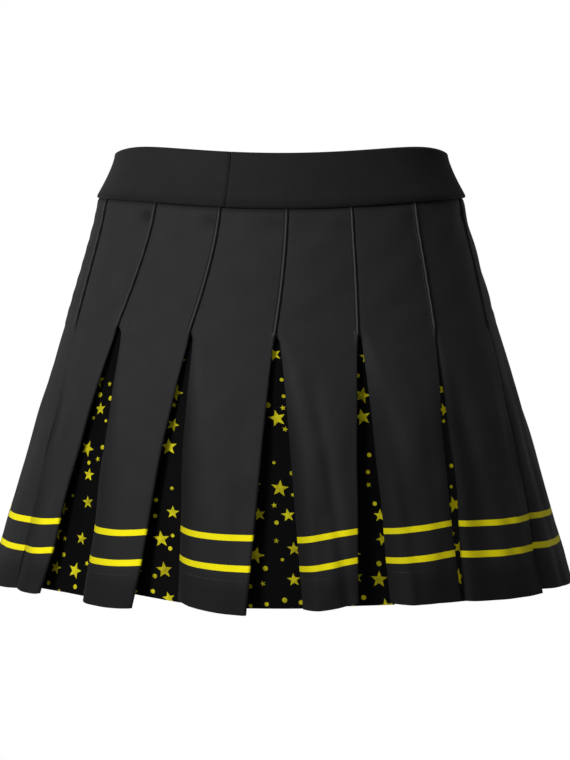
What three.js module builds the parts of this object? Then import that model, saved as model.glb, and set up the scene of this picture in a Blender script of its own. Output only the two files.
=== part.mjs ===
// A pleated cheer skirt: a two-part waistband with elastic and facing, sixteen panels that are
// stitched down to the hip line, and below it sixteen free pleats, each a panel with the printed
// inlay sewn to its left edge. Millimetres, +Z up, the front faces -Y, and the origin is the
// centre of the waist opening.
import * as THREE from 'three';

// Driving dimensions
const BAND_HEIGHT = 38;
const TOP_HALF_WIDTH = 124;
const TOP_HALF_DEPTH = 88;
const SEAM_HALF_WIDTH = 138;
const SEAM_HALF_DEPTH = 102;
const BAND_EASE = 1.4;
const FLARE_WIDTH = 0.3;
const FLARE_DEPTH = 0.25;
const FLARE_EASE = 12;
const FRONT_DIP = 7;
const FRONT_DIP_KEPT = 0.5;
const SIDE_DIP = 6;
const HIP_DROP = 92;
const HEM_DROP = 289;

// Fabric thicknesses, and the gap kept between pieces that touch
const BAND_CLOTH = 1.5;
const ELASTIC = 1.2;
const FACING_CLOTH = 1;
const PANEL_CLOTH = 1.5;
const INLAY_CLOTH = 1.2;
const TAPE_CLOTH = 0.8;
const GAP = 0.3;

// Where the folds between neighbouring panels lie round the body, in degrees from the front
// centre, and how far each fold is open at the hem, in degrees
const FOLD_AT_WAIST = [-70, -41, -18, 2.5, 22.5, 46, 78, 101, 124, 145, 165, 184, 203, 223, 245, 268];
const FOLD_AT_HIP = [-69, -47, -23.5, -1, 20.5, 44, 72, 95, 117.5, 139, 160, 181, 202, 223.5, 246, 268.5];
const FOLD_AT_HEM = [-62, -47.6, -24.6, -1, 18.2, 36.7, 60.4, 83, 107, 131, 154.5, 178, 202, 226, 250, 274];
const OPENING_AT_HEM = [0.3, 10, 7.9, 10.6, 7.4, 1.8, 0.3, 7, 9, 8, 10, 7, 9, 8, 6, 3];
const OPENING_AT_HIP = 0.3;
const OPENING_GROWTH = 0.6;
const SEAM_BEND = 1.5;
const PLEATS = FOLD_AT_WAIST.length;

// A panel's left edge curves in to the inlay, by the full recess where the fold stands open, and
// the inlay runs on behind the panel before
const RECESS_AT_HIP = 3;
const RECESS_AT_HEM = 14;
const RECESS_WIDTH = 0.3;
const OPEN_FOLD = 7;
const INLAY_UNDER_AT_HIP = 7;
const INLAY_UNDER_AT_HEM = 38;

const CHARCOAL = 0x2d2d2f;
const DARK_CHARCOAL = 0x242426;
const NEAR_BLACK = 0x0a0a0b;
const BLACK = 0x111112;
const LABEL_WHITE = 0xe4e2dc;

const { lerp, clamp, smoothstep, degToRad } = THREE.MathUtils;

// Half-axes of the body's oval at a drop below the waist seam. The band lies at negative drops,
// and it flares most near its seam.
function halfAxes(drop) {
  if (drop < 0) {
    const share = 1 - Math.pow(1 + drop / BAND_HEIGHT, BAND_EASE);
    return [
      lerp(SEAM_HALF_WIDTH, TOP_HALF_WIDTH, share),
      lerp(SEAM_HALF_DEPTH, TOP_HALF_DEPTH, share),
    ];
  }
  const flared = drop - FLARE_EASE * (1 - Math.exp(-drop / FLARE_EASE));
  return [SEAM_HALF_WIDTH + FLARE_WIDTH * flared, SEAM_HALF_DEPTH + FLARE_DEPTH * flared];
}

// A point on the body at an angle from the front centre, moved out along the oval's normal.
// The waist dips at the front and back, less so towards the hem, and the band's top edge also
// dips at the sides.
function bodyPoint(angle, drop, out = 0) {
  const [a, b] = halfAxes(drop);
  const turn = degToRad(angle);
  const sin = Math.sin(turn);
  const cos = Math.cos(turn);
  const normalLength = Math.hypot(b * sin, a * cos);
  const kept = Math.min(1, 1 - ((1 - FRONT_DIP_KEPT) * drop) / HEM_DROP);
  const frontDip = FRONT_DIP * Math.pow(Math.abs(cos), 3) * kept;
  const sideDip = SIDE_DIP * Math.pow(sin, 10) * Math.pow(clamp(-drop / BAND_HEIGHT, 0, 1), 2);
  return new THREE.Vector3(
    a * sin + (out * b * sin) / normalLength,
    -b * cos - (out * a * cos) / normalLength,
    -BAND_HEIGHT - frontDip - sideDip - drop,
  );
}

// The angle that a length along the oval takes up
function degreesFor(length, angle, drop) {
  const [a, b] = halfAxes(drop);
  const turn = degToRad(angle);
  return THREE.MathUtils.radToDeg(length / Math.hypot(a * Math.cos(turn), b * Math.sin(turn)));
}

// How far a drop lies along the free pleats: 0 at the hip line, 1 at the hem
function freeShare(drop) {
  return clamp((drop - HIP_DROP) / (HEM_DROP - HIP_DROP), 0, 1);
}

// Lists run round the body, so the fold after the last one is the first again
function aroundBody(list, index, fullTurn) {
  return list[index % PLEATS] + (index >= PLEATS ? fullTurn : 0);
}

function foldAngle(index, drop) {
  const atWaist = aroundBody(FOLD_AT_WAIST, index, 360);
  const atHip = aroundBody(FOLD_AT_HIP, index, 360);
  const atHem = aroundBody(FOLD_AT_HEM, index, 360);
  const stitched = lerp(atWaist, atHip, Math.pow(clamp(drop / HIP_DROP, 0, 1), SEAM_BEND));
  return stitched + (atHem - atHip) * freeShare(drop);
}

function foldOpening(index, drop) {
  const atHem = aroundBody(OPENING_AT_HEM, index, 0);
  return lerp(OPENING_AT_HIP, atHem, Math.pow(freeShare(drop), OPENING_GROWTH));
}

function recess(index, drop) {
  const open = smoothstep(aroundBody(OPENING_AT_HEM, index, 0), 0, OPEN_FOLD);
  return lerp(RECESS_AT_HIP, RECESS_AT_HEM, open * freeShare(drop));
}

// A closed sheet of cloth wrapped on the body between two edges. Each edge gives an angle for a
// drop, and out gives the outer face's distance from the body at a share of the width and a drop.
function clothGeometry({ left, right, top, bottom, columns, rows, thickness, out }) {
  const geometry = new THREE.BoxGeometry(1, 1, 1, columns, rows, 1);
  const position = geometry.attributes.position;
  for (let i = 0; i < position.count; i += 1) {
    const across = position.getX(i) + 0.5;
    const depth = 0.5 - position.getZ(i);
    const drop = lerp(top, bottom, 0.5 - position.getY(i));
    const angle = lerp(left(drop), right(drop), across);
    const point = bodyPoint(angle, drop, out(across, drop) - depth * thickness);
    position.setXYZ(i, point.x, point.y, point.z);
  }
  geometry.computeVertexNormals();
  return geometry;
}

function clothMesh(name, geometry, color, roughness) {
  const material = new THREE.MeshStandardMaterial({ color, roughness, metalness: 0 });
  const mesh = new THREE.Mesh(geometry, material);
  mesh.name = name;
  return mesh;
}

// A strip round the waist, between two angles and two drops
function waistStrip({ name, from, to, top, bottom, columns, rows, thickness, out, color }) {
  const middle = (top + bottom) / 2;
  const geometry = clothGeometry({
    left: () => from + degreesFor(GAP / 2, from, middle),
    right: () => to - degreesFor(GAP / 2, to, middle),
    top,
    bottom,
    columns,
    rows,
    thickness,
    out: () => out,
  });
  return clothMesh(name, geometry, color, 0.85);
}

function waistband() {
  const group = new THREE.Group();
  const frontJoin = -17;
  const backJoin = 180;
  const band = {
    top: -BAND_HEIGHT,
    bottom: 0,
    rows: 6,
    thickness: BAND_CLOTH,
    out: BAND_CLOTH,
    color: DARK_CHARCOAL,
  };
  group.add(
    waistStrip({ name: 'waistband_plain_section', from: backJoin - 360, to: frontJoin, columns: 34, ...band }),
    waistStrip({ name: 'waistband_ribbed_section', from: frontJoin, to: backJoin, columns: 41, ...band }),
  );
  const elasticOut = -GAP;
  const facingOut = elasticOut - ELASTIC - GAP;
  const ring = { from: -180, to: 180, columns: 75, rows: 1 };
  group.add(
    waistStrip({
      name: 'waistband_elastic',
      top: 2 - BAND_HEIGHT,
      bottom: -3,
      thickness: ELASTIC,
      out: elasticOut,
      color: BLACK,
      ...ring,
      rows: 6,
    }),
    waistStrip({
      name: 'waistband_facing',
      top: -BAND_HEIGHT,
      bottom: 0,
      thickness: FACING_CLOTH,
      out: facingOut,
      color: DARK_CHARCOAL,
      ...ring,
      rows: 6,
    }),
  );
  const tapeOut = -PANEL_CLOTH - GAP;
  group.add(
    waistStrip({
      name: 'waist_seam_tape',
      top: 1,
      bottom: 11,
      thickness: TAPE_CLOTH,
      out: tapeOut,
      color: BLACK,
      ...ring,
    }),
    waistStrip({
      name: 'care_label',
      from: -172,
      to: -160,
      top: 3,
      bottom: 45,
      columns: 2,
      rows: 3,
      thickness: 0.4,
      out: tapeOut - TAPE_CLOTH - 3 * GAP,
      color: LABEL_WHITE,
    }),
  );
  return group;
}

// The stitched-down part of a panel, between two fold lines
function hipPanel(index) {
  const geometry = clothGeometry({
    left: (drop) => foldAngle(index, drop) + degreesFor(GAP / 2, foldAngle(index, drop), drop),
    right: (drop) => foldAngle(index + 1, drop) - degreesFor(GAP / 2, foldAngle(index + 1, drop), drop),
    top: GAP,
    bottom: HIP_DROP,
    columns: 4,
    rows: 6,
    thickness: PANEL_CLOTH,
    out: () => 0,
  });
  return clothMesh(`hip_panel_${pleatNumber(index)}`, geometry, CHARCOAL, 0.9);
}

function pleatNumber(index) {
  return String(index + 1).padStart(2, '0');
}

// How far a pleat panel's outer face lies in from the body: nothing from its middle to its right
// edge, and its fold's recess at its left edge
function panelOut(index, across, drop) {
  const curl = Math.max(0, 1 - across / RECESS_WIDTH);
  return -recess(index, drop) * curl * curl;
}

// The free part of a panel, which hangs from the hip line
function pleatPanel(index) {
  const geometry = clothGeometry({
    left: (drop) => foldAngle(index, drop) + foldOpening(index, drop) / 2,
    right: (drop) => foldAngle(index + 1, drop) - foldOpening(index + 1, drop) / 2,
    top: HIP_DROP + GAP,
    bottom: HEM_DROP,
    columns: 7,
    rows: 5,
    thickness: PANEL_CLOTH,
    out: (across, drop) => panelOut(index, across, drop),
  });
  return clothMesh(`pleat_panel_${pleatNumber(index)}`, geometry, CHARCOAL, 0.9);
}

// The printed inlay: sewn behind its own panel's left edge, across the fold, and on behind the
// panel before
function pleatInlay(index) {
  const rightEdge = (drop) => foldAngle(index, drop) + foldOpening(index, drop) / 2;
  const geometry = clothGeometry({
    left: (drop) => {
      const under = lerp(INLAY_UNDER_AT_HIP, INLAY_UNDER_AT_HEM, freeShare(drop));
      const edge = rightEdge(drop) - foldOpening(index, drop);
      return edge - degreesFor(under, edge, drop);
    },
    right: rightEdge,
    top: HIP_DROP + GAP,
    bottom: HEM_DROP - 1,
    columns: 4,
    rows: 5,
    thickness: INLAY_CLOTH,
    out: (across, drop) => -recess(index, drop) - PANEL_CLOTH - GAP,
  });
  return clothMesh(`pleat_inlay_${pleatNumber(index)}`, geometry, NEAR_BLACK, 0.8);
}

// A free pleat swings on the hip line, so its group sits there, at the middle of its panel
function pleat(index) {
  const middle = (foldAngle(index, HIP_DROP) + foldAngle(index + 1, HIP_DROP)) / 2;
  const hinge = bodyPoint(middle, HIP_DROP);
  const group = new THREE.Group();
  group.position.copy(hinge);
  for (const mesh of [pleatPanel(index), pleatInlay(index)]) {
    mesh.geometry.translate(-hinge.x, -hinge.y, -hinge.z);
    group.add(mesh);
  }
  return group;
}

const skirt = new THREE.Group();
skirt.add(waistband());
for (let index = 0; index < PLEATS; index += 1) {
  skirt.add(hipPanel(index), pleat(index));
}

export default skirt;
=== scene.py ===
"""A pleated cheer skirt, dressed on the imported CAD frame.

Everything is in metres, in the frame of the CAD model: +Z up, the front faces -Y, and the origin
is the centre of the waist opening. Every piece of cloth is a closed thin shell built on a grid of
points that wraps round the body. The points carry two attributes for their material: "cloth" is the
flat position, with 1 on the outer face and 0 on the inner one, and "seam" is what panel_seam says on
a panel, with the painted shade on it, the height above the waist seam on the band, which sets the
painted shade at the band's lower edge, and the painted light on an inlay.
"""
import math
import random

import bpy
import numpy as np
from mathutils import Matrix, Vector


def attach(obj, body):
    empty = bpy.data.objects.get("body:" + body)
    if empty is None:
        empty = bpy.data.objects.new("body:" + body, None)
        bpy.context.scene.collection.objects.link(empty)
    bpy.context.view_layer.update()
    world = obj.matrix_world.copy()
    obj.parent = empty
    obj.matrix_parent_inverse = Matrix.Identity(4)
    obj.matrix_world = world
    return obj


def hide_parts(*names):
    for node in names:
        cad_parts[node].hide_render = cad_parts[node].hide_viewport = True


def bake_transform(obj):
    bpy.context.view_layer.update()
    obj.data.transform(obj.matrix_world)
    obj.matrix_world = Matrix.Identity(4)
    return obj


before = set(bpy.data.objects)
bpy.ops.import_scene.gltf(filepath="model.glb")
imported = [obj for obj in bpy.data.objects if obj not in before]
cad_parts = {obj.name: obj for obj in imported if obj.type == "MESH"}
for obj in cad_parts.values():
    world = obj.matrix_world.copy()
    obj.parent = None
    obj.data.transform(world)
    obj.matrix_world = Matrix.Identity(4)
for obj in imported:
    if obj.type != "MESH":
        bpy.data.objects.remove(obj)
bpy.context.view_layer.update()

MM = 0.001

# The body of the skirt, as in the CAD model: the ovals of the top edge and of the waist seam, the
# flare below them, and how far the waist dips at the front and back and the top edge at the sides.
# Only the band's side (BAND_EASE) is a little more hollow here. A metre of drop is SLANT metres of
# cloth.
BAND_HEIGHT = 38 * MM
TOP_HALF_WIDTH, TOP_HALF_DEPTH = 124 * MM, 88 * MM
SEAM_HALF_WIDTH, SEAM_HALF_DEPTH = 138 * MM, 102 * MM
BAND_EASE = 1.8
FLARE_WIDTH, FLARE_DEPTH, FLARE_EASE = 0.3, 0.25, 12 * MM
FRONT_DIP = 7 * MM
FRONT_DIP_KEPT = 0.5
SIDE_DIP = 6 * MM
HIP_DROP = 92 * MM
HEM_DROP = 289 * MM
SLANT = 1.04

# The folds between the panels, in degrees from the front centre, as in the CAD model. SEAM_BEND
# curves the stitched part, and FOLD_BOW moves the free part sideways halfway down.
FOLD_AT_WAIST = [-70, -41, -18, 2.5, 22.5, 46, 78, 101, 124, 145, 165, 184, 203, 223, 245, 268]
FOLD_AT_HIP = [-69, -47, -23.5, -1, 20.5, 44, 72, 95, 117.5, 139, 160, 181, 202, 223.5, 246, 268.5]
FOLD_AT_HEM = [-62, -47.6, -24.6, -1, 18.2, 36.7, 60.4, 83, 107, 131, 154.5, 178, 202, 226, 250, 274]
FOLD_BOW = [0, -1.25, -1.1, 0, 0, 0, 0, 0, 0, 0, 0, 0, 0, 0, 0, 0]
SEAM_BEND = 1.5

# How wide the folds stand open, in degrees, at the hip and at the hem. OPENING_GROWTH shapes the way
# between the two, and GAPE opens a fold further, or closes it, halfway down.
OPENING_AT_HIP = 0.45
OPENING_AT_HEM = [0.3, 10, 7.9, 10.6, 7.4, 1.8, 0.3, 7, 9, 8, 10, 7, 9, 8, 6, 3]
OPENING_GROWTH = [0.6, 0.6, 0.8, 0.65, 0.6, 0.6, 0.6, 0.6, 0.6, 0.6, 0.6, 0.6, 0.6, 0.6, 0.6, 0.6]
GAPE = [-0.5, 0, 0, 0, 0.3, 2.3, 0, 0.5, 0, 0, 0.6, 0, 0, 0, 0.5, 0]
PLEATS = len(FOLD_AT_WAIST)

# How far each panel is drawn up, in mm, at the stripes and at the hem: all of it, and then more
# at its left and at its right edge. STRIPES_LEVEL is the stripes' place between hip and hem.
HANG_AT_STRIPES = [
    (0, 0, 3.4), (-2.5, 4.1, 4.8), (0, 5, 1), (3, -5, 2.4), (5.2, -2.5, 1.3), (1.9, 3, 0.7),
    (1.5, 1.5, 1), (0, 2.5, 2), (0, 1, 1), (1, 3, 1), (0, 2, 2), (1, 2, 0), (0, 1, 2), (0, 3, 1),
    (1, 2, 1), (-1, 2, 1),
]
HANG_AT_HEM = [
    (0, 3.5, 3), (-2, 4.5, 2.5), (0, 7, -1), (2.5, -1, 4.5), (3, 0.5, 1.5), (0, 2.5, 0),
    (0, 3, 2), (0, 4, 3), (0, 2, 1), (0, 5, 2), (0, 3, 3), (0, 4, 1), (0, 2, 3), (0, 5, 2),
    (0, 3, 2), (0, 4, 3),
]
STRIPES_LEVEL = 0.78

# The soft valleys that run down the free cloth, for each panel: where across the panel each one
# starts at the hip and ends at the hem, as shares of the width, and its depth in mm
VALLEYS = [
    [(0.7, 0.55, 0.5)], [(0.25, 0.4, 0.5), (0.9, 0.7, 0.4)], [(0.3, 0.2, 0.9), (0.7, 0.85, 0.6)],
    [(0.3, 0.8, 2.2), (0.85, 0.3, 0.5)], [(0.15, 0.35, 1.8), (0.7, 0.8, 1.0)],
    [(0.1, 0.28, 1.6), (0.55, 0.62, 1.8), (0.85, 0.9, 0.8)],
    [(0.3, 0.5, 1.5)], [(0.6, 0.3, 1.2)], [(0.3, 0.7, 1.6)], [(0.5, 0.4, 1.4)], [(0.4, 0.75, 1.5)],
    [(0.7, 0.4, 1.2)], [(0.3, 0.6, 1.6)], [(0.6, 0.3, 1.4)], [(0.4, 0.7, 1.2)], [(0.6, 0.4, 0.8)],
]
VALLEY_WIDTH = 0.11

# The shade painted on each panel: how far it reaches in from the fold at its left, in mm, and how
# dark the painted shade grows toward the panel's right edge, where it hangs close over the next one
FOLD_SHADE = [
    (24, 0.1), (44, 0.2), (36, 0), (26, 0.4), (42, 0.9), (34, 0.4), (20, 0.3), (28, 0.2),
    (30, 0), (30, 0.3), (30, 0.3), (30, 0), (30, 0.2), (30, 0), (30, 0.3), (30, 0.2),
]

# How far each inlay's print is moved along, in mm, and how much painted light brightens its narrow strip
PRINT_SHIFT = [0, 0, 0, 0, 0, 6.5, 0, 0, 0, 0, 0, 0, 0, 0, 0, 0]
INLAY_LIT = [0, 0, 0, 0, 0, 1, 0, 0, 0, 0, 0, 0, 0, 0, 0, 0]

# The depth of the dent beside each panel's right-hand seam, which also sets the painted shade in the
# dent, and how far each inlay's left side is drawn up at the hem, in mm
HIP_DENT = [1.3, 0.8, 0.3, 0.3, 0.4, 0.9, 0.5, 0.8, 0.4, 0.6, 0.9, 0.5, 0.8, 0.6, 0.9, 0.4]
INLAY_LIFT = [2, 2, 9, 0.5, 1.5, 1, 2, 4, 3, 5, 3, 4, 2, 5, 3, 2]

# Cloth, and the extra thickness of the hem
PANEL_CLOTH = 0.8 * MM
INLAY_CLOTH = 0.6 * MM
BAND_CLOTH = 0.8 * MM
HEM_DEPTH = 25 * MM
HEM_EXTRA = 0.5 * MM

# How deep the cloth lies in a fold: at the stitching, and at the hem of an open and of a closed one.
# A fold counts as fully open from OPEN_FOLD degrees.
RECESS_AT_STITCHING = 2.1 * MM
RECESS_AT_HEM = 14 * MM
RECESS_CLOSED = 2.0 * MM
OPEN_FOLD = 7

# A panel's left edge: the tuck under the panel before, and the curl into the fold
TUCK_WIDTH = 5 * MM
TIGHT_CURL = 2.2 * MM
CURL_SHARE = 0.3

# A panel's right edge: the corded ridge, and the ply that is folded back behind the panel
RIDGE_HEIGHT = 1.5 * MM
RIDGE_WIDTH = 0.8 * MM
RIDGE_INSET = 1.4 * MM
PLY_AT_HIP, PLY_AT_HEM = 4 * MM, 30 * MM

# How far an inlay reaches in under the panel before its opening, how much of that panel it leaves
# free, and how far it reaches under its own panel
UNDER_AT_HIP, UNDER_AT_HEM = 7 * MM, 62 * MM
UNDER_SPARE = 9 * MM
SEAM_ALLOWANCE = 4 * MM

# The cloth's softness, as depths from the smooth form: the puckers beside a seam, the ripples, how
# far an open fold's edge stands off, and the turn under the waistband
PUCKER = 0.2 * MM
RIPPLE = 0.45 * MM
STAND_OFF = 1.6 * MM
TURN_UNDER_BAND = 2.2 * MM

# Sewing thread
STITCH = 2.6 * MM
STITCH_GAP = 0.5 * MM
THREAD_RADIUS = 0.19 * MM

# The upright joins of the waistband's two sections, in degrees
FRONT_JOIN = -17
BACK_JOIN = 180

# The grids' sizes: rows of points down a panel and an inlay, columns round the fold at a panel's
# right and across the ply behind it
PANEL_ROWS, INLAY_ROWS, INLAY_COLUMNS = 118, 80, 26
FOLD_COLUMNS, PLY_COLUMNS = 7, 7

# Where the stitched-down hip meets a free pleat; bend_at_hip finds body points there but bends nothing
BEND_FROM = HIP_DROP - 12 * MM
BEND_TO = HIP_DROP + 40 * MM


def lerp(a, b, share):
    return a + (b - a) * share


def smooth(value):
    value = np.clip(value, 0, 1)
    return value * value * (3 - 2 * value)


# ---------------------------------------------------------------- the body's surface

def half_axes(drop):
    share = 1 - (1 - np.clip(-drop / BAND_HEIGHT, 0, 1)) ** BAND_EASE
    below = np.maximum(drop, 0)
    flared = below - FLARE_EASE * (1 - np.exp(-below / FLARE_EASE))
    a = SEAM_HALF_WIDTH + FLARE_WIDTH * flared + (TOP_HALF_WIDTH - SEAM_HALF_WIDTH) * share
    b = SEAM_HALF_DEPTH + FLARE_DEPTH * flared + (TOP_HALF_DEPTH - SEAM_HALF_DEPTH) * share
    return a, b


def body_point(angle, drop, out):
    """Points at an angle in degrees and a drop below the waist seam, moved out from the body."""
    angle, drop, out = np.broadcast_arrays(angle, drop, out)
    a, b = half_axes(drop)
    turn = np.radians(angle)
    sin, cos = np.sin(turn), np.cos(turn)
    size = np.hypot(b * sin, a * cos)
    dip = FRONT_DIP * np.abs(cos) ** 3 * np.minimum(1, 1 - (1 - FRONT_DIP_KEPT) * drop / HEM_DROP)
    side_dip = SIDE_DIP * sin ** 10 * np.clip(-drop / BAND_HEIGHT, 0, 1) ** 2
    return np.stack([
        a * sin + out * b * sin / size,
        -b * cos - out * a * cos / size,
        -BAND_HEIGHT - dip - side_dip - drop,
    ], axis=-1)


def degrees_per_metre(angle, drop):
    a, b = half_axes(drop)
    turn = np.radians(angle)
    return np.degrees(1 / np.hypot(a * np.cos(turn), b * np.sin(turn)))


def free_share(drop):
    return np.clip((drop - HIP_DROP) / (HEM_DROP - HIP_DROP), 0, 1)


def around(values, index, full_turn):
    return values[index % PLEATS] + (full_turn if index >= PLEATS else 0)


def fold_angle(index, drop):
    waist, hip, hem = (around(v, index, 360) for v in (FOLD_AT_WAIST, FOLD_AT_HIP, FOLD_AT_HEM))
    stitched = lerp(waist, hip, np.clip(drop / HIP_DROP, 0, 1) ** SEAM_BEND)
    free = free_share(drop)
    bow = around(FOLD_BOW, index, 0) * np.sin(math.pi * free ** 0.75) ** 2
    return stitched + (hem - hip) * free + bow


def fold_opening(index, drop):
    at_hem = around(OPENING_AT_HEM, index, 0)
    free = free_share(drop)
    gape = around(GAPE, index, 0) * np.sin(math.pi * free) ** 1.5
    return lerp(OPENING_AT_HIP, at_hem, free ** around(OPENING_GROWTH, index, 0)) + gape


def openness(index):
    """0 for a fold that hangs closed at the hem, 1 for one that stands open."""
    return float(smooth(around(OPENING_AT_HEM, index, 0) / OPEN_FOLD))


def recess(index, drop):
    at_hem = lerp(RECESS_CLOSED, RECESS_AT_HEM, openness(index))
    return lerp(RECESS_AT_STITCHING, at_hem, free_share(drop) ** 0.8)


# ---------------------------------------------------------------- cloth shells

def grid_normals(points, closed):
    """Unit normals of a rows by columns grid, out of the face whose columns run to the right."""
    down = np.gradient(points, axis=0)
    if closed:
        wide = np.concatenate([points[:, -1:], points, points[:, :1]], axis=1)
        right = (wide[:, 2:] - wide[:, :-2]) / 2
    else:
        right = np.gradient(points, axis=1)
    normal = np.cross(down, right)
    return normal / np.maximum(np.linalg.norm(normal, axis=-1, keepdims=True), 1e-12)


def grid_faces(rows, columns, closed):
    """Quads of the outer layer, the inner layer and the rims of a two-layer grid."""
    count = rows * columns
    faces = []
    spans = columns if closed else columns - 1

    def vertex(row, column, layer=0):
        return layer * count + row * columns + column % columns

    for r in range(rows - 1):
        for c in range(spans):
            quad = [(r, c), (r + 1, c), (r + 1, c + 1), (r, c + 1)]
            faces.append([vertex(*p) for p in quad])
            faces.append([vertex(*p, layer=1) for p in reversed(quad)])
    for c in range(spans):
        faces.append([vertex(0, c), vertex(0, c + 1), vertex(0, c + 1, 1), vertex(0, c, 1)])
        last = rows - 1
        faces.append([vertex(last, c + 1), vertex(last, c), vertex(last, c, 1), vertex(last, c + 1, 1)])
    if not closed:
        for r in range(rows - 1):
            faces.append([vertex(r + 1, 0), vertex(r, 0), vertex(r, 0, 1), vertex(r + 1, 0, 1)])
            c = columns - 1
            faces.append([vertex(r, c), vertex(r + 1, c), vertex(r + 1, c, 1), vertex(r, c, 1)])
    return faces


def new_object(name, points, faces, material, flat_coordinates=None, seam=None, sharp_above=50):
    mesh = bpy.data.meshes.new(name)
    mesh.from_pydata(np.asarray(points).reshape(-1, 3).tolist(), [], faces)
    mesh.polygons.foreach_set("use_smooth", [True] * len(mesh.polygons))
    mesh.set_sharp_from_angle(angle=math.radians(sharp_above))
    if flat_coordinates is not None:
        attribute = mesh.attributes.new("cloth", "FLOAT_VECTOR", "POINT")
        attribute.data.foreach_set("vector", np.asarray(flat_coordinates, np.float32).ravel())
    if seam is not None:
        attribute = mesh.attributes.new("seam", "FLOAT_VECTOR", "POINT")
        attribute.data.foreach_set("vector", np.asarray(seam, np.float32).ravel())
    mesh.materials.append(material)
    piece = bpy.data.objects.new(name, mesh)
    bpy.context.scene.collection.objects.link(piece)
    return piece


def cloth_shell(name, points, thickness, across, up, material, closed=False, seam=None):
    """A closed shell under a grid of outer points. across and up are the cloth's flat
    coordinates, and the third one is 1 on the outer face and 0 on the inner face."""
    rows, columns = points.shape[:2]
    normal = grid_normals(points, closed)
    inner = points - normal * np.broadcast_to(thickness, points.shape[:2])[..., None]
    across, up = np.broadcast_to(across, (rows, columns)), np.broadcast_to(up, (rows, columns))
    outer_flat = np.stack([across, up, np.ones_like(across)], axis=-1)
    inner_flat = np.stack([across, up, np.zeros_like(across)], axis=-1)
    if seam is not None:
        seam = np.concatenate([seam.reshape(-1, 3), seam.reshape(-1, 3)])
    piece = new_object(
        name,
        np.concatenate([points.reshape(-1, 3), inner.reshape(-1, 3)]),
        grid_faces(rows, columns, closed),
        material,
        np.concatenate([outer_flat.reshape(-1, 3), inner_flat.reshape(-1, 3)]),
        seam,
    )
    return piece


# ---------------------------------------------------------------- materials

class Nodes:
    """A small helper that writes a material's node graph."""

    def __init__(self, name):
        self.material = bpy.data.materials.new(name)
        self.material.use_nodes = True
        self.tree = self.material.node_tree
        self.shader = self.tree.nodes["Principled BSDF"]

    def link(self, source, target):
        self.tree.links.new(source, target)

    def feed(self, socket, value):
        if isinstance(value, bpy.types.NodeSocket):
            self.link(value, socket)
        elif value is not None:
            socket.default_value = value

    def math(self, operation, a, b=None, c=None, clamp=False):
        node = self.tree.nodes.new("ShaderNodeMath")
        node.operation = operation
        node.use_clamp = clamp
        for socket, value in zip(node.inputs, (a, b, c)):
            self.feed(socket, value)
        return node.outputs[0]

    def vector(self, operation, a, b=None):
        node = self.tree.nodes.new("ShaderNodeVectorMath")
        node.operation = operation
        self.feed(node.inputs[0], a)
        self.feed(node.inputs[1], b)
        return node.outputs["Value" if operation in ("LENGTH", "DISTANCE") else "Vector"]

    def combine(self, x, y, z=0.0):
        node = self.tree.nodes.new("ShaderNodeCombineXYZ")
        for socket, value in zip(node.inputs, (x, y, z)):
            self.feed(socket, value)
        return node.outputs[0]

    def split(self, vector):
        node = self.tree.nodes.new("ShaderNodeSeparateXYZ")
        self.link(vector, node.inputs[0])
        return node.outputs

    def cloth(self):
        """The cloth's flat coordinates in millimetres, as (vector, x, y, side)."""
        node = self.tree.nodes.new("ShaderNodeAttribute")
        node.attribute_name = "cloth"
        x, y, side = self.split(node.outputs["Vector"])
        x, y = self.math("MULTIPLY", x, 1000.0), self.math("MULTIPLY", y, 1000.0)
        return self.combine(x, y), x, y, side

    def attribute(self, name):
        node = self.tree.nodes.new("ShaderNodeAttribute")
        node.attribute_name = name
        return self.split(node.outputs["Vector"])

    def place(self):
        return self.tree.nodes.new("ShaderNodeTexCoord").outputs["Object"]

    def noise(self, vector, scale, detail=2.0, roughness=0.5):
        node = self.tree.nodes.new("ShaderNodeTexNoise")
        self.link(vector, node.inputs["Vector"])
        node.inputs["Scale"].default_value = scale
        node.inputs["Detail"].default_value = detail
        node.inputs["Roughness"].default_value = roughness
        return node.outputs["Fac"]

    def mix(self, share, a, b):
        node = self.tree.nodes.new("ShaderNodeMix")
        node.data_type = "RGBA"
        self.feed(node.inputs["Factor"], share)
        self.feed(node.inputs["A"], a)
        self.feed(node.inputs["B"], b)
        return node.outputs["Result"]

    def bump(self, height, distance, strength=1.0, normal=None):
        node = self.tree.nodes.new("ShaderNodeBump")
        node.inputs["Distance"].default_value = distance
        node.inputs["Strength"].default_value = strength
        self.link(height, node.inputs["Height"])
        if normal is not None:
            self.link(normal, node.inputs["Normal"])
        return node.outputs["Normal"]

    def band(self, value, low, high, soft):
        """1 where value lies between low and high, with soft edges."""
        up = self.math("DIVIDE", self.math("SUBTRACT", value, low), soft, clamp=True)
        down = self.math("DIVIDE", self.math("SUBTRACT", high, value), soft, clamp=True)
        return self.math("MULTIPLY", up, down)

    def wave(self, value, pitch, phase=0.0):
        """A cosine of value, from 0 to 1, that repeats every pitch."""
        turns = self.math("MULTIPLY_ADD", value, 2 * math.pi / pitch, phase)
        return self.math("MULTIPLY_ADD", self.math("COSINE", turns), 0.5, 0.5)


def shade(color, factor):
    return (color[0] * factor, color[1] * factor, color[2] * factor, 1)


def set_cloth_finish(nodes, sheen, sheen_roughness, specular):
    nodes.shader.inputs["Sheen Weight"].default_value = sheen
    nodes.shader.inputs["Sheen Roughness"].default_value = sheen_roughness
    nodes.shader.inputs["Specular IOR Level"].default_value = specular


def knit(nodes, x, y, wale, course):
    """The height of a fine knit: columns of stitches that lean left and right by turns."""
    lean = nodes.math("MULTIPLY", nodes.wave(x, wale), 1.6)
    loops = nodes.wave(nodes.math("ADD", y, nodes.math("MULTIPLY", lean, course / 3)), course)
    columns = nodes.wave(x, wale, math.pi)
    return nodes.math("MULTIPLY", loops, nodes.math("MULTIPLY_ADD", columns, 0.6, 0.4))


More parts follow.
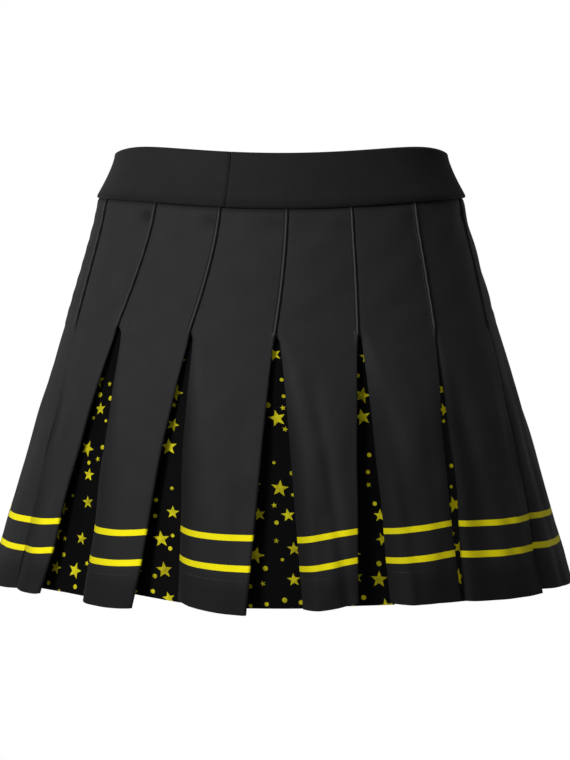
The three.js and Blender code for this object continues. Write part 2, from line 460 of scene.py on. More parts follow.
CHARCOAL = (0.0190, 0.0190, 0.0205)
STRIPE_YELLOW = (0.92, 0.81, 0.0)
STAR_YELLOW = (0.52, 0.47, 0.01)

# The stripes' edges, in mm above the hem, and the heights where shade is painted onto the cloth: the
# hem, the free cloth and the edge under the waistband, as (no shade, full shade, how much)
STRIPES = ((29.8, 34.6), (51.8, 56.6))
PANEL_SHADES = ((29.0, 15.0, 0.75), (170.0, 30.0, 0.3), (295.5, 299.5, 0.8))


def panel_material():
    nodes = Nodes("panel_knit")
    flat, x, y, side = nodes.cloth()
    broad = nodes.noise(flat, 0.06, 3.0)
    fibre = nodes.noise(flat, 0.75, 4.0, 0.75)
    mottle = nodes.math("MULTIPLY_ADD", broad, 0.4, nodes.math("MULTIPLY", fibre, 0.6))
    cloth = nodes.mix(mottle, shade(CHARCOAL, 0.5), shade(CHARCOAL, 1.5))

    # painted highlight on the corded ridge, painted shade in the groove beside it, the folds and the
    # dents
    from_right, stitched, shaded = nodes.attribute("seam")
    off_ridge = nodes.math("MULTIPLY_ADD", from_right, 1 / MM, -RIDGE_INSET / MM)
    off_ridge = nodes.math("ABSOLUTE", off_ridge)
    cord_highlight = nodes.math("MULTIPLY", nodes.band(off_ridge, -1.0, 0.65, 0.35), stitched)
    groove_shade = nodes.math("MULTIPLY", nodes.band(off_ridge, 0.7, 1.9, 0.45), stitched)
    cloth = nodes.mix(groove_shade, cloth, shade(CHARCOAL, 0.3))
    cloth = nodes.mix(cord_highlight, cloth, shade(CHARCOAL, 2.7))
    cloth = nodes.mix(nodes.math("MULTIPLY", shaded, 0.85), cloth, shade(CHARCOAL, 0.15))
    # painted shade toward the hem, down the free cloth and at the edge under the waistband
    for clear_at, dark_at, share in PANEL_SHADES:
        depth = nodes.math("DIVIDE", nodes.math("SUBTRACT", y, clear_at), dark_at - clear_at, clamp=True)
        cloth = nodes.mix(nodes.math("MULTIPLY", depth, share), cloth, shade(CHARCOAL, 0.2))

    # the stripes are printed on the outer face only
    ink = nodes.mix(fibre, shade(STRIPE_YELLOW, 0.88), shade(STRIPE_YELLOW, 1.06))
    # the painted shade of the folds and dents darkens the stripes too
    ink = nodes.mix(nodes.math("MULTIPLY", shaded, 0.55), ink, shade(STRIPE_YELLOW, 0.3))
    outer = nodes.math("GREATER_THAN", side, 0.5)
    stripe = None
    for low, high in STRIPES:
        band = nodes.band(y, low, high, 0.25)
        stripe = band if stripe is None else nodes.math("MAXIMUM", stripe, band)
    stripe = nodes.math("MULTIPLY", stripe, outer)
    nodes.link(nodes.mix(stripe, cloth, ink), nodes.shader.inputs["Base Color"])
    nodes.feed(nodes.shader.inputs["Roughness"], nodes.math("MULTIPLY_ADD", fibre, 0.2, 0.66))
    weave = nodes.bump(knit(nodes, x, y, 0.9, 0.7), 0.00008, 0.5)
    fuzz = nodes.bump(nodes.noise(flat, 0.9, 5.0, 0.75), 0.00025, 0.35, weave)
    nodes.link(fuzz, nodes.shader.inputs["Normal"])
    set_cloth_finish(nodes, 0.035, 0.5, 0.14)
    return nodes.material


def star_mask(nodes, x, y, radius, turn):
    """1 inside a five-point star of that radius, centred on the origin."""
    tip = 2 * math.pi / 5
    inner = 0.42
    squares = nodes.math("ADD", nodes.math("POWER", x, 2.0), nodes.math("POWER", y, 2.0))
    length = nodes.math("SQRT", squares)
    angle = nodes.math("ADD", nodes.math("ARCTAN2", x, y), turn)
    folded = nodes.math("ABSOLUTE", nodes.math("WRAP", angle, tip / 2, -tip / 2))
    along = inner * math.sin(tip / 2)
    beside = 1 - inner * math.cos(tip / 2)
    reach = nodes.math(
        "ADD",
        nodes.math("MULTIPLY", nodes.math("COSINE", folded), along),
        nodes.math("MULTIPLY", nodes.math("SINE", folded), beside),
    )
    tip_reach = nodes.math("MULTIPLY", radius, along)
    edge = nodes.math("SUBTRACT", tip_reach, nodes.math("MULTIPLY", length, reach))
    return nodes.math("DIVIDE", edge, 0.08, clamp=True), length


def motif_cells(nodes, flat, pitch, randomness, offset):
    """Scattered motif centres, one a cell: (x and y from the centre, three random numbers)."""
    cell = nodes.tree.nodes.new("ShaderNodeTexVoronoi")
    cell.voronoi_dimensions = "2D"
    cell.inputs["Scale"].default_value = 1.0
    cell.inputs["Randomness"].default_value = randomness
    moved = nodes.vector("ADD", flat, offset)
    scaled = nodes.vector("MULTIPLY", moved, (1 / pitch, 1 / pitch, 0))
    nodes.link(scaled, cell.inputs["Vector"])
    local = nodes.vector("SUBTRACT", scaled, cell.outputs["Position"])
    x, y, _ = nodes.split(nodes.vector("MULTIPLY", local, (pitch, pitch, 0)))
    chance = nodes.split(cell.outputs["Color"])
    return x, y, chance


INLAY_BLACK = (0.0024, 0.0024, 0.0028)

# The print's cells of big and small motifs: pitch in mm, randomness and offset. Then the motifs'
# radii in mm, the share of the cells that each one fills, and how far the small motifs keep from
# the centre of a big star.
BIG_CELLS = (23.5, 0.45, (3.0, 7.0, 0.0))
SMALL_CELLS = (12.0, 0.6, (40.0, 11.0, 0.0))
STAR_RADIUS, BIGGEST_STAR_RADIUS = 5.2, 6.6
LITTLE_STAR_RADIUS = 2.3
DOT_RADIUS, BIGGEST_DOT_RADIUS = 1.2, 2.0
BIG_STARS, BIGGEST_STARS = 0.86, 0.45
LITTLE_STARS, STARS_AND_DOTS = 0.16, 0.62
CLEAR_OF_STARS = 8.2


def inlay_material():
    nodes = Nodes("inlay_print")
    flat, x, y, side = nodes.cloth()
    fibre = nodes.noise(flat, 1.4, 3.0, 0.6)

    big_x, big_y, chance = motif_cells(nodes, flat, *BIG_CELLS)
    biggest = nodes.math("LESS_THAN", chance[0], BIGGEST_STARS)
    radius = nodes.math("MULTIPLY_ADD", biggest, BIGGEST_STAR_RADIUS - STAR_RADIUS, STAR_RADIUS)
    turn = nodes.math("MULTIPLY_ADD", chance[1], 0.7, -0.35)
    big, _ = star_mask(nodes, big_x, big_y, radius, turn)
    big = nodes.math("MULTIPLY", big, nodes.math("LESS_THAN", chance[0], BIG_STARS))

    small_x, small_y, small_chance = motif_cells(nodes, flat, *SMALL_CELLS)
    small_turn = nodes.math("MULTIPLY_ADD", small_chance[1], 0.8, -0.4)
    little, length = star_mask(nodes, small_x, small_y, LITTLE_STAR_RADIUS, small_turn)
    dot_radius = nodes.math("MULTIPLY_ADD", small_chance[1], BIGGEST_DOT_RADIUS - DOT_RADIUS, DOT_RADIUS)
    dot = nodes.math("DIVIDE", nodes.math("SUBTRACT", dot_radius, length), 0.1, clamp=True)
    is_star = nodes.math("LESS_THAN", small_chance[0], LITTLE_STARS)
    is_dot = nodes.band(small_chance[0], LITTLE_STARS, STARS_AND_DOTS, 0.001)
    little, dot = nodes.math("MULTIPLY", little, is_star), nodes.math("MULTIPLY", dot, is_dot)
    small = nodes.math("ADD", little, dot)

    # a small motif is left out where its centre comes too near a big star
    small_centre = nodes.vector("SUBTRACT", flat, nodes.combine(small_x, small_y))
    near_x, near_y, near_chance = motif_cells(nodes, small_centre, *BIG_CELLS)
    near = nodes.vector("LENGTH", nodes.combine(near_x, near_y))
    no_star = nodes.math("GREATER_THAN", near_chance[0], BIG_STARS)
    clear = nodes.math("MAXIMUM", nodes.math("GREATER_THAN", near, CLEAR_OF_STARS), no_star)
    small = nodes.math("MULTIPLY", small, clear)

    outer = nodes.math("GREATER_THAN", side, 0.5)
    print_mask = nodes.math("MULTIPLY", nodes.math("MAXIMUM", big, small), outer)
    patchy = nodes.noise(flat, 0.22, 2.0)
    patchy = nodes.math("MULTIPLY_ADD", patchy, 1.1, -0.3)
    tone = nodes.math("MULTIPLY_ADD", chance[2], 0.5, patchy, clamp=True)
    # painted light: where an inlay's strip is marked lit, its cloth and stars are painted lighter
    lit, _, _ = nodes.attribute("seam")
    ink = nodes.mix(tone, shade(STAR_YELLOW, 0.28), shade(STAR_YELLOW, 1.4))
    ink = nodes.mix(nodes.math("MULTIPLY", lit, 0.7), ink, shade(STRIPE_YELLOW, 1.0))
    cloth = nodes.mix(fibre, shade(INLAY_BLACK, 0.7), shade(INLAY_BLACK, 1.3))
    cloth = nodes.mix(nodes.math("MULTIPLY", lit, 0.8), cloth, shade(CHARCOAL, 0.9))
    nodes.link(nodes.mix(print_mask, cloth, ink), nodes.shader.inputs["Base Color"])
    nodes.feed(nodes.shader.inputs["Roughness"], nodes.math("MULTIPLY_ADD", fibre, 0.15, 0.62))
    weave = nodes.bump(knit(nodes, x, y, 0.8, 0.6), 0.00006, 0.5)
    nodes.link(weave, nodes.shader.inputs["Normal"])
    set_cloth_finish(nodes, 0.0, 0.4, 0.03)
    return nodes.material


BAND_BLACK = (0.0119, 0.0119, 0.0128)


def band_material(name, wale, depth):
    nodes = Nodes(name)
    flat, x, y, side = nodes.cloth()
    broad = nodes.noise(flat, 0.07, 3.0)
    fibre = nodes.noise(flat, 0.8, 4.0, 0.75)
    mottle = nodes.math("MULTIPLY_ADD", broad, 0.45, nodes.math("MULTIPLY", fibre, 0.55))
    cloth = nodes.mix(mottle, shade(BAND_BLACK, 0.5), shade(BAND_BLACK, 1.35))
    # painted shade on the band's lower edge, just above the waist seam
    above_seam, _, _ = nodes.attribute("seam")
    seam_shade = nodes.math("MULTIPLY_ADD", above_seam, -1 / MM, 6.5)
    seam_shade = nodes.math("DIVIDE", seam_shade, 8.0, clamp=True)
    cloth = nodes.mix(nodes.math("MULTIPLY", seam_shade, 0.8), cloth, shade(BAND_BLACK, 0.15))
    nodes.link(cloth, nodes.shader.inputs["Base Color"])
    nodes.feed(nodes.shader.inputs["Roughness"], nodes.math("MULTIPLY_ADD", fibre, 0.2, 0.64))
    weave = nodes.bump(knit(nodes, x, y, wale, 0.7), depth, 0.6)
    nodes.link(weave, nodes.shader.inputs["Normal"])
    set_cloth_finish(nodes, 0.05, 0.5, 0.14)
    return nodes.material


def woven_material(name, color, pitch, roughness, specular):
    """A plain weave, for elastic, tape and label."""
    nodes = Nodes(name)
    flat, x, y, side = nodes.cloth()
    over = nodes.math("MULTIPLY", nodes.wave(x, pitch), nodes.wave(y, pitch))
    under = nodes.math("MULTIPLY", nodes.wave(x, pitch, math.pi), nodes.wave(y, pitch, math.pi))
    weave = nodes.math("ADD", over, under)
    fibre = nodes.noise(flat, 2.0, 3.0)
    tone = nodes.math("MULTIPLY_ADD", weave, 0.6, nodes.math("MULTIPLY", fibre, 0.4))
    nodes.link(nodes.mix(tone, shade(color, 0.7), shade(color, 1.15)), nodes.shader.inputs["Base Color"])
    nodes.feed(nodes.shader.inputs["Roughness"], nodes.math("MULTIPLY_ADD", fibre, 0.15, roughness))
    nodes.link(nodes.bump(weave, 0.0001, 0.6), nodes.shader.inputs["Normal"])
    set_cloth_finish(nodes, 0.08, 0.4, specular)
    return nodes.material


def thread_material():
    nodes = Nodes("sewing_thread")
    twist = nodes.noise(nodes.place(), 2500.0, 1.0)
    thread = nodes.mix(twist, (0.012, 0.012, 0.013, 1), (0.03, 0.03, 0.032, 1))
    nodes.link(thread, nodes.shader.inputs["Base Color"])
    nodes.feed(nodes.shader.inputs["Roughness"], nodes.math("MULTIPLY_ADD", twist, 0.15, 0.42))
    nodes.link(nodes.bump(twist, 0.00005, 0.5), nodes.shader.inputs["Normal"])
    set_cloth_finish(nodes, 0.03, 0.4, 0.2)
    return nodes.material


PANEL_KNIT = panel_material()
INLAY_PRINT = inlay_material()
SMOOTH_BAND = band_material("band_smooth_knit", 0.8, 0.00006)
RIBBED_BAND = band_material("band_ribbed_knit", 1.3, 0.00010)
TAPE_WEAVE = woven_material("tape_weave", (0.012, 0.012, 0.013), 0.9, 0.7, 0.3)
LABEL_WEAVE = woven_material("label_weave", (0.72, 0.71, 0.67), 0.5, 0.45, 0.4)
THREAD = thread_material()


# ---------------------------------------------------------------- panels

def panel_edges(index, drop):
    """The panel's left and right edge angles, and its width in metres."""
    left = fold_angle(index, drop) + fold_opening(index, drop) / 2
    right = fold_angle(index + 1, drop) - fold_opening(index + 1, drop) / 2
    width = (right - left) / degrees_per_metre((left + right) / 2, drop)
    return left, right, width


def drawn_up(hang, share):
    whole, left, right = hang
    return (whole + left * (1 - share) ** 2 + right * share ** 2) * MM


def hip_dent(index, from_right, drop):
    """The depth of the soft dent beside a panel's right-hand seam."""
    high = np.exp(-(((drop - (11 + 0.3 * index) * MM) / (5 * MM)) ** 2))
    return around(HIP_DENT, index, 0) * MM * high * np.exp(-(((from_right - 7 * MM) / (6 * MM)) ** 2))


def tuck(index, drop):
    """How far a panel's left edge runs on under the panel before, as a negative reach. Where the
    fold stands open the tuck ends at the hip line."""
    ends = smooth((drop - HIP_DROP + 4 * MM) / (9 * MM)) * min(1, 4 * openness(index))
    return -TUCK_WIDTH * (1 - ends)


def panel_form(index, reach, width, drop, ridge_height=RIDGE_HEIGHT):
    """(how far the panel's outer face stands out, how much its hem is lifted) at a reach from its
    left edge. The numbers that differ from panel to panel come from its own seed."""
    chance = random.Random(100 + index)
    bow = chance.uniform(1.2, 3.2) * MM
    phases = [chance.uniform(0, 2 * math.pi) for _ in range(4)]
    free = free_share(drop)
    share = np.clip(reach / width, 0, 1)
    from_right = np.maximum(width - reach, 0)
    stitched = 1 - smooth((drop - HIP_DROP) / (10 * MM))

    # the left edge: a tight tuck where it is stitched, and a wide curl below
    left_open, right_open = openness(index), openness(index + 1)
    start = tuck(index, drop)
    wide = smooth((drop - 0.8 * HIP_DROP) / (80 * MM)) * left_open
    curl_width = lerp(TIGHT_CURL, CURL_SHARE * width, wide)
    curl = np.clip(1 - (reach - start) / (curl_width - start), 0, 1)
    out = -recess(index, drop) * curl ** 2

    # the corded ridge beside the right edge, and the stitches' soft puckers
    ridge = np.exp(-(((from_right - RIDGE_INSET) / RIDGE_WIDTH) ** 2))
    out = out + ridge_height * ridge * stitched
    near_seam = np.exp(-from_right / (7 * MM)) * stitched
    out = out + PUCKER * near_seam * np.sin(drop / (1.9 * MM) + phases[0])

    # the cloth turns in under the waistband, with a soft dent beside some of the seams
    out = out - TURN_UNDER_BAND * np.exp(-drop / (2.5 * MM))
    out = out - hip_dent(index, from_right, drop) * (1 - ridge)
    crown = np.sin(math.pi * share) * np.sin(math.pi * np.clip(drop / HIP_DROP, 0, 1))
    out = out + 0.8 * MM * stitched * crown

    # the free cloth bows out, stands off at its right edge and ripples softly
    out = out + bow * np.sin(math.pi * share) * free ** 0.8
    out = out + STAND_OFF * np.exp(-from_right / (9 * MM)) * free * right_open
    ripple = np.sin(2 * math.pi * (1.1 * share + 2.3 * free) + phases[1])
    ripple = ripple + 0.6 * np.sin(2 * math.pi * (0.6 * share - 3.1 * free) + phases[2])
    out = out + RIPPLE * ripple * smooth(free * 3)
    swell = np.sin(2 * math.pi * (drop / (37 * MM) + 0.8 * share) + phases[3])
    out = out + RIPPLE * swell * np.sin(math.pi * share) * stitched

    for at_hip, at_hem, depth in VALLEYS[index]:
        middle = lerp(at_hip, at_hem, free)
        valley = np.exp(-(((share - middle) / VALLEY_WIDTH) ** 2))
        out = out - depth * MM * valley * smooth(free * 2.2) * (1 - 0.35 * free)

    # the hem is two layers deep, and its stitches pull it in
    above_hem = (HEM_DROP - drop) * SLANT
    out = out + 0.35 * MM * (1 - smooth((above_hem - HEM_DEPTH) / (1.5 * MM)))
    out = out - 0.3 * MM * np.exp(-(((above_hem - HEM_DEPTH + 1.5 * MM) / (0.9 * MM)) ** 2))
    at_stripes, at_hem = (drawn_up(hang[index], share) for hang in (HANG_AT_STRIPES, HANG_AT_HEM))
    lift = at_stripes * np.minimum(free / STRIPES_LEVEL, 1) ** 1.5
    lift = lift + (at_hem - at_stripes) * np.clip((free - STRIPES_LEVEL) / (1 - STRIPES_LEVEL), 0, 1)
    return out, lift


def panel_columns(index, width, drop):
    """Each column's reach from the left edge, over the rows, in metres."""
    start = tuck(index, drop)
    columns = [start, start * 0.6, start * 0.2]
    columns += [np.full_like(drop, reach * MM) for reach in (0.4, 1.0, 1.7, 2.6)]
    margin = 4 * MM
    for share in np.linspace(0, 1, 22):
        columns.append(margin + (width - 2 * margin - 1.2 * MM) * share)
    columns += [width - reach * MM for reach in (4.2, 3.4, 2.8, 2.4, 2.0, 1.7, 1.4, 1.1, 0.8)]
    return np.stack(columns, axis=1)


def along_rows(points):
    """The length along each row of a grid, from its left edge, in metres."""
    steps = np.linalg.norm(np.diff(points, axis=1), axis=-1)
    return np.concatenate([np.zeros((len(points), 1)), np.cumsum(steps, axis=1)], axis=1)


def panel_seam(index, reach, width, drop):
    """What a panel's material has to know at each point: the length in from the right edge, 1 where
    the panel is stitched down, and how much painted shade darkens the cloth. The fold and the ply are
    plain."""
    free = free_share(drop)
    hidden = np.zeros((len(drop), FOLD_COLUMNS + PLY_COLUMNS))
    from_left, from_right = np.maximum(reach, 0), np.maximum(width - reach, 0)
    stitched = np.broadcast_to(1 - smooth((drop - HIP_DROP + 2 * MM) / (5 * MM)), from_right.shape)
    plain = np.broadcast_to(stitched[:, :1], hidden.shape)

    # painted shade: in the dent beside the seam, in from the open fold at the left, and toward the right
    # edge
    dent = 0.85 * hip_dent(index, from_right, drop) / (max(HIP_DENT) * MM) * (from_right > 2.6 * MM)
    shade_width, shade_at_right = FOLD_SHADE[index]
    shaded = lerp(5, shade_width, smooth(free * 1.3)) * MM
    shade_left = smooth(1 - from_left / shaded) * smooth(free * 2.5)
    shade_right = shade_at_right * np.exp(-from_right / (14 * MM)) * smooth(free * 2)
    dark = np.maximum(dent, np.maximum(shade_left, shade_right))
    return np.stack([
        np.concatenate([from_right, hidden], axis=1),
        np.concatenate([stitched, plain], axis=1),
        np.concatenate([dark, hidden], axis=1),
    ], axis=-1)


def make_panel(index):
    number = f"{index + 1:02d}"
    drop = np.linspace(0.4 * MM, HEM_DROP, PANEL_ROWS)
    left, right, width = panel_edges(index, drop)
    free = free_share(drop)
    open_radius = lerp(0.7 * MM, 1.8 * MM, openness(index + 1))
    fold_radius = lerp(1.0 * MM, open_radius, smooth(free * 2))
    reach = panel_columns(index, width - fold_radius + 0.8 * MM, drop)
    row_drop, row_width, row_free = drop[:, None], width[:, None], free[:, None]
    out, lift = panel_form(index, reach, row_width, row_drop)

    # round the fold at the right edge, and back behind the panel
    edge_reach, edge_out = reach[:, -1:], out[:, -1:]
    turn = np.linspace(0, math.pi, FOLD_COLUMNS + 1)[1:]
    radius = fold_radius[:, None]
    fold_reach = edge_reach + radius * np.sin(turn)
    fold_out = edge_out - radius * (1 - np.cos(turn))
    ply = lerp(PLY_AT_HIP, PLY_AT_HEM, smooth(free * 1.2))[:, None]
    back = np.linspace(0, 1, PLY_COLUMNS + 1)[1:]
    back_reach = edge_reach - ply * back
    sink = (0.2 * MM + 0.42 * np.maximum(recess(index + 1, drop) - RECESS_AT_STITCHING, 0))[:, None]
    ply_out, ply_lift = panel_form(index, back_reach, row_width, row_drop, 0)
    back_out = np.minimum(edge_out, ply_out) - 2 * radius - sink * back

    reach = np.concatenate([reach, fold_reach, back_reach], axis=1)
    out = np.concatenate([out, fold_out, back_out], axis=1)
    fold_lift = np.repeat(lift[:, -1:], len(turn), axis=1)
    lift = np.concatenate([lift, fold_lift, ply_lift + 1.2 * MM * row_free * back], axis=1)
    angle = left[:, None] + (right - left)[:, None] * reach / row_width
    points = body_point(angle, row_drop - lift, out)

    across = along_rows(points) + 0.11 * index
    up = (HEM_DROP - row_drop) * SLANT
    thickness = PANEL_CLOTH + HEM_EXTRA * (1 - smooth((up - HEM_DEPTH) / (1.5 * MM)))
    seam = panel_seam(index, reach[:, :-FOLD_COLUMNS - PLY_COLUMNS], row_width, row_drop)
    piece = cloth_shell(f"panel_{number}", points, thickness, across, up, PANEL_KNIT, seam=seam)
    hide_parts(f"hip_panel_{number}", f"pleat_panel_{number}")
    bend_at_hip(piece, index)


def bend_at_hip(piece, index):
    middle = (fold_angle(index, HIP_DROP) + fold_angle(index + 1, HIP_DROP)) / 2
    start = body_point(middle, BEND_FROM, 0)
    end = body_point(middle, BEND_TO, 0)
    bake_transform(piece)


# ---------------------------------------------------------------- inlays

def make_inlay(index):
    number = f"{index + 1:02d}"
    drop = np.linspace(HIP_DROP - 8 * MM, HEM_DROP - 1 * MM, INLAY_ROWS)
    free = free_share(drop)
    edge, _, _ = panel_edges(index, drop)
    scale = degrees_per_metre(edge, drop)
    opening = fold_opening(index, drop)
    _, _, width_before = panel_edges(index - 1 if index else PLEATS - 1, drop)
    under = np.minimum(lerp(UNDER_AT_HIP, UNDER_AT_HEM, free), width_before - UNDER_SPARE) * scale
    first = edge - opening - under
    last = edge + SEAM_ALLOWANCE * scale
    share = np.linspace(0, 1, INLAY_COLUMNS)
    angle = first[:, None] + (last - first)[:, None] * share
    chance = random.Random(500 + index)
    phase = chance.uniform(0, 2 * math.pi)
    slack = np.sin(math.pi * share) * np.sin(2.2 * math.pi * free[:, None] + phase)
    at_edge = recess(index, drop)[:, None]
    depth = lerp(np.maximum(0.76 * at_edge, 9 * MM * free[:, None]), at_edge, smooth(share * 1.6))
    out = -depth - 1.1 * MM + 0.9 * MM * slack * smooth(free * 3)[:, None]
    lift = (INLAY_LIFT[index] * lerp(1, 0.25, share) + 0.7) * MM * free[:, None] ** 2.5
    points = body_point(angle, drop[:, None] - lift, out)
    across = along_rows(points)
    across = across - across[:, -1:] + 0.137 * index + PRINT_SHIFT[index] * MM
    up = (HEM_DROP - drop)[:, None] * SLANT
    # the seam attribute carries the inlay's painted light
    seam = np.full(points.shape, INLAY_LIT[index], float)
    piece = cloth_shell(f"inlay_{number}", points, INLAY_CLOTH, across, up, INLAY_PRINT, seam=seam)
    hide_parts(f"pleat_inlay_{number}")
    bend_at_hip(piece, index)


# ---------------------------------------------------------------- stitching

def add_stitch(verts, faces, start, end, lift, radius=THREAD_RADIUS, sides=5):
    """One stitch: a short arched thread from start to end, which dives in at both."""
    along = end - start
    side = np.cross(along, lift)
    side = side / max(np.linalg.norm(side), 1e-12)
    base = len(verts)
    rings = ((0.0, -0.6, 0.5), (0.15, 0.3, 0.9), (0.5, 0.75, 1.0), (0.85, 0.3, 0.9), (1.0, -0.6, 0.5))
    for share, rise, size in rings:
        centre = start + along * share + lift * rise * radius
        for step in range(sides):
            turn = 2 * math.pi * step / sides
            verts.append(centre + radius * size * (side * math.cos(turn) + lift * math.sin(turn)))
    for ring in range(len(rings) - 1):
        for step in range(sides):
            a, b = base + ring * sides + step, base + ring * sides + (step + 1) % sides
            faces.append([a, a + sides, b + sides, b])
    faces.append([base + step for step in range(sides)])
    last = base + (len(rings) - 1) * sides
    faces.append([last + step for step in reversed(range(sides))])


def panel_surface(index, from_right, drop):
    """Points on a panel's outer face, a length in from its right edge."""
    left, right, width = panel_edges(index, drop)
    reach = width - from_right
    out, lift = panel_form(index, reach, width, drop)
    angle = left + (right - left) * reach / width
    return body_point(angle, drop - lift, out), angle


def outward(angle, drop):
    a, b = half_axes(drop)
    turn = math.radians(angle)
    normal = np.array([b * math.sin(turn), -a * math.cos(turn), 0.0])
    return normal / np.linalg.norm(normal)


def make_stitching(index):
    number = f"{index + 1:02d}"
    verts, faces = [], []

    # the topstitching beside the ridge, from the waist seam to the end of the seam
    drop = 2.5 * MM
    while drop + STITCH < HIP_DROP:
        ends = np.array([drop, drop + STITCH])
        points, angles = panel_surface(index, 3.3 * MM, ends)
        add_stitch(verts, faces, points[0], points[1], outward(angles[0], drop))
        drop += STITCH + STITCH_GAP

    # the bar-tack across the end of the seam
    for row in range(5):
        drop = HIP_DROP - 1.0 * MM + row * 0.45 * MM
        ends = np.array([4.0, 0.9]) * MM
        points = [panel_surface(index, reach, np.array([drop])) for reach in ends]
        add_stitch(verts, faces, points[0][0][0], points[1][0][0], outward(points[0][1][0], drop))

    # the hem's row of stitches
    drop = HEM_DROP - (HEM_DEPTH - 1.5 * MM) / SLANT
    _, _, width = panel_edges(index, np.array([drop]))
    reach = 2.5 * MM
    while reach + STITCH < width[0] - 3 * MM:
        ends = [panel_surface(index, width[0] - r, np.array([drop])) for r in (reach, reach + STITCH)]
        add_stitch(verts, faces, ends[0][0][0], ends[1][0][0], outward(ends[0][1][0], drop))
        reach += STITCH + STITCH_GAP
    piece = new_object(f"stitching_{number}", verts, faces, THREAD)
    bend_at_hip(piece, index)


# ---------------------------------------------------------------- waistband

def band_profile():
    """The band's section, from the lip inside its top, over the top and down to the turned-in
    bottom edge, as (drop, out) pairs."""
    profile = [(-34.0, -3.3), (-35.5, -3.3)]
    for turn in np.linspace(0, math.pi, 9):
        profile.append((-37.0 - 2.4 * math.sin(turn), -0.9 - 2.4 * math.cos(turn)))
    for share in np.linspace(0, 1, 15)[1:]:
        profile.append((-37.0 + 33.0 * share, 1.5 + 0.9 * math.sin(math.pi * 0.85 * share)))
    low_out = 1.5 + 0.9 * math.sin(math.pi * 0.85)
    for turn in np.linspace(0, math.pi / 2, 8)[1:]:
        profile.append((-4.0 + 4.9 * math.sin(turn), -0.5 + (low_out + 0.5) * math.cos(turn)))
    profile += [(-0.3, -0.9), (-1.8, -0.9)]
    return np.array(profile) * MM


def make_band(name, node, first, last, columns, material, rib_pitch, extra):
    profile = band_profile()
    angle = np.linspace(first, last, columns)
    lengths = np.concatenate([[0], np.cumsum(np.diff(angle) / degrees_per_metre(angle[1:], -0.02))])
    drop, out = profile[:, :1], profile[:, 1:]
    outside = np.clip((out + 0.9 * MM) / (2.4 * MM), 0, 1)
    to_end = np.minimum(lengths, lengths[-1] - lengths)
    turned_in = 0.9 * MM * np.exp(-((to_end / (0.7 * MM)) ** 2))
    ribs = 0.11 * MM * np.cos(2 * math.pi * lengths / rib_pitch) if rib_pitch else 0
    ease = 0.25 * MM * np.sin(lengths / (17 * MM)) * np.sin(math.pi * np.clip(-drop / BAND_HEIGHT, 0, 1))
    full_out = out + (extra + ribs - turned_in) * outside + ease
    points = body_point(angle, drop, full_out)
    down = np.concatenate([[0], np.cumsum(np.linalg.norm(np.diff(profile, axis=0), axis=1))])[:, None]
    seam = np.zeros(points.shape)
    seam[..., 0] = np.maximum(-drop, 0)
    piece = cloth_shell(name, points, BAND_CLOTH, lengths, -down, material, seam=seam)
    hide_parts(node)
    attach(piece, "skirt_top")


# The mean radius of the waist, for the rings' flat coordinates
WAIST_RADIUS = 0.115


def make_ring(name, node, top, bottom, out, thickness, material, rows=7):
    drop = np.linspace(top, bottom, rows)[:, None]
    angle = np.linspace(-180, 180, 181)[:-1]
    wobble = 0.15 * MM * np.sin(np.radians(angle) * 23) * np.sin(drop / (6 * MM))
    points = body_point(angle, drop, out + wobble)
    across = np.radians(angle) * WAIST_RADIUS
    seam = np.full(points.shape, BAND_HEIGHT)
    piece = cloth_shell(name, points, thickness, across, -drop, material, closed=True, seam=seam)
    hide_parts(node)
    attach(piece, "skirt_top")


def make_label():
    drop = np.linspace(3 * MM, 45 * MM, 22)[:, None]
    angle = np.linspace(-172, -160, 16)
    hang = np.clip((drop - 11 * MM) / (34 * MM), 0, 1)
    out = -4.6 * MM - 2.5 * MM * hang ** 2 - 0.8 * MM * hang * np.sin(np.radians((angle + 166) * 12))
    points = body_point(angle, drop, out)
    across = (angle + 166) / 12 * 0.03
    piece = cloth_shell("label", points, 0.3 * MM, across, -drop, LABEL_WEAVE)
    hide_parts("care_label")
    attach(piece, "skirt_top")


def make_waist():
    half_gap = 0.12
    make_band("band_plain", "waistband_plain_section", BACK_JOIN - 360 + half_gap, FRONT_JOIN - half_gap,
              240, SMOOTH_BAND, None, 0)
    rib_pitch = 1.3 * MM
    make_band("band_ribbed", "waistband_ribbed_section", FRONT_JOIN + half_gap, BACK_JOIN - half_gap,
              1240, RIBBED_BAND, rib_pitch, 0.3 * MM)
    make_ring("band_facing", "waistband_facing", -34 * MM, -0.5 * MM, -1.9 * MM, 0.7 * MM, SMOOTH_BAND)
    make_ring("seam_tape", "waist_seam_tape", 0.5 * MM, 11 * MM, -3.6 * MM, 0.6 * MM, TAPE_WEAVE)
    make_label()
    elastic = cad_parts["waistband_elastic"]
    for material_slot in elastic.material_slots:
        material_slot.material = TAPE_WEAVE


# ---------------------------------------------------------------- stage

def add_light(name, position, target, size, power):
    data = bpy.data.lights.new(name, "AREA")
    data.shape = "DISK"
    data.size = size
    data.energy = power
    light = bpy.data.objects.new(name, data)
    light.location = position
    light.rotation_euler = (Vector(target) - Vector(position)).to_track_quat("-Z", "Y").to_euler()
    bpy.context.scene.collection.objects.link(light)


# The light of the room: its strength, and how much it changes from left to right
ROOM_LIGHT, ROOM_SLOPE = 0.21, -0.2


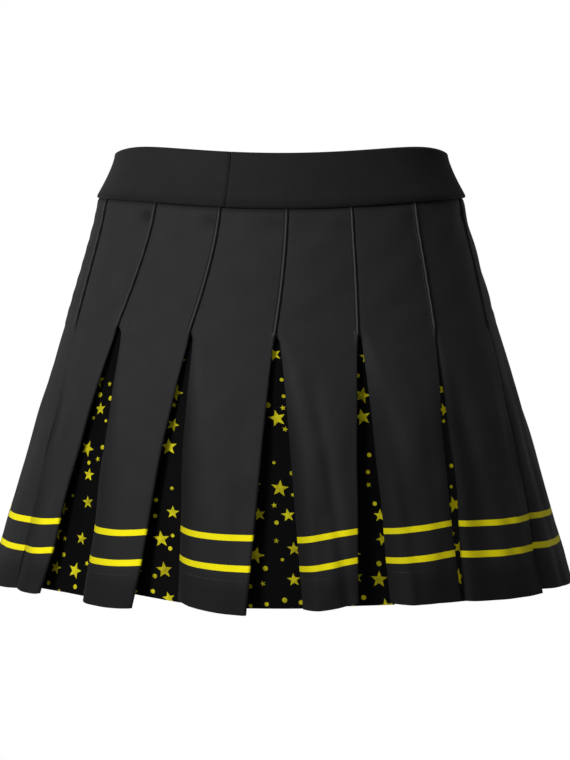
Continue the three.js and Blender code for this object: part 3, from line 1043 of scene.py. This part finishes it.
def make_stage():
    scene = bpy.context.scene
    scene.view_settings.view_transform = "Standard"
    world = bpy.data.worlds.new("studio")
    world.use_nodes = True
    tree = world.node_tree
    backdrop = tree.nodes["Background"]
    backdrop.inputs["Color"].default_value = (1, 1, 1, 1)
    backdrop.inputs["Strength"].default_value = 1.0
    room = tree.nodes.new("ShaderNodeBackground")
    room.inputs["Color"].default_value = (1, 1, 1, 1)
    direction = tree.nodes.new("ShaderNodeSeparateXYZ")
    tree.links.new(tree.nodes.new("ShaderNodeTexCoord").outputs["Generated"], direction.inputs[0])
    ramp = tree.nodes.new("ShaderNodeMath")
    ramp.operation = "MULTIPLY_ADD"
    ramp.inputs[1].default_value = ROOM_SLOPE
    ramp.inputs[2].default_value = ROOM_LIGHT
    tree.links.new(direction.outputs["X"], ramp.inputs[0])
    tree.links.new(ramp.outputs[0], room.inputs["Strength"])
    choose = tree.nodes.new("ShaderNodeMixShader")
    tree.links.new(tree.nodes.new("ShaderNodeLightPath").outputs["Is Camera Ray"], choose.inputs["Fac"])
    tree.links.new(room.outputs[0], choose.inputs[1])
    tree.links.new(backdrop.outputs[0], choose.inputs[2])
    tree.links.new(choose.outputs[0], tree.nodes["World Output"].inputs["Surface"])
    scene.world = world

    floor_nodes = Nodes("floor")
    floor_nodes.shader.inputs["Base Color"].default_value = (0.9, 0.9, 0.9, 1)
    floor_nodes.shader.inputs["Roughness"].default_value = 0.9
    bpy.ops.mesh.primitive_circle_add(vertices=96, radius=3.4, fill_type="NGON", location=(0, 0, -1.2))
    floor = bpy.context.object
    floor.name = "floor"
    floor.data.materials.append(floor_nodes.material)

    centre = (0, 0, -0.17)
    add_light("key", (-1.5, -2.0, 0.9), centre, 0.8, 54.5)
    add_light("fill", (0.2, -2.5, 0.2), centre, 1.4, 1.5)
    add_light("rim", (1.6, 1.6, 0.2), centre, 0.8, 3)

    # the camera stands in front at the height of the waistband, and looks slightly down
    camera_data = bpy.data.cameras.new("camera")
    camera_data.sensor_fit = "VERTICAL"
    camera_data.sensor_height = 36
    camera_data.lens = 137.6
    camera = bpy.data.objects.new("camera", camera_data)
    camera.location = (0.0030, -2.2, -0.026)
    camera.rotation_euler = (math.radians(90 - 3.92), 0, 0)
    scene.collection.objects.link(camera)
    scene.camera = camera


make_waist()
for pleat in range(PLEATS):
    make_panel(pleat)
    make_inlay(pleat)
    make_stitching(pleat)
make_stage()
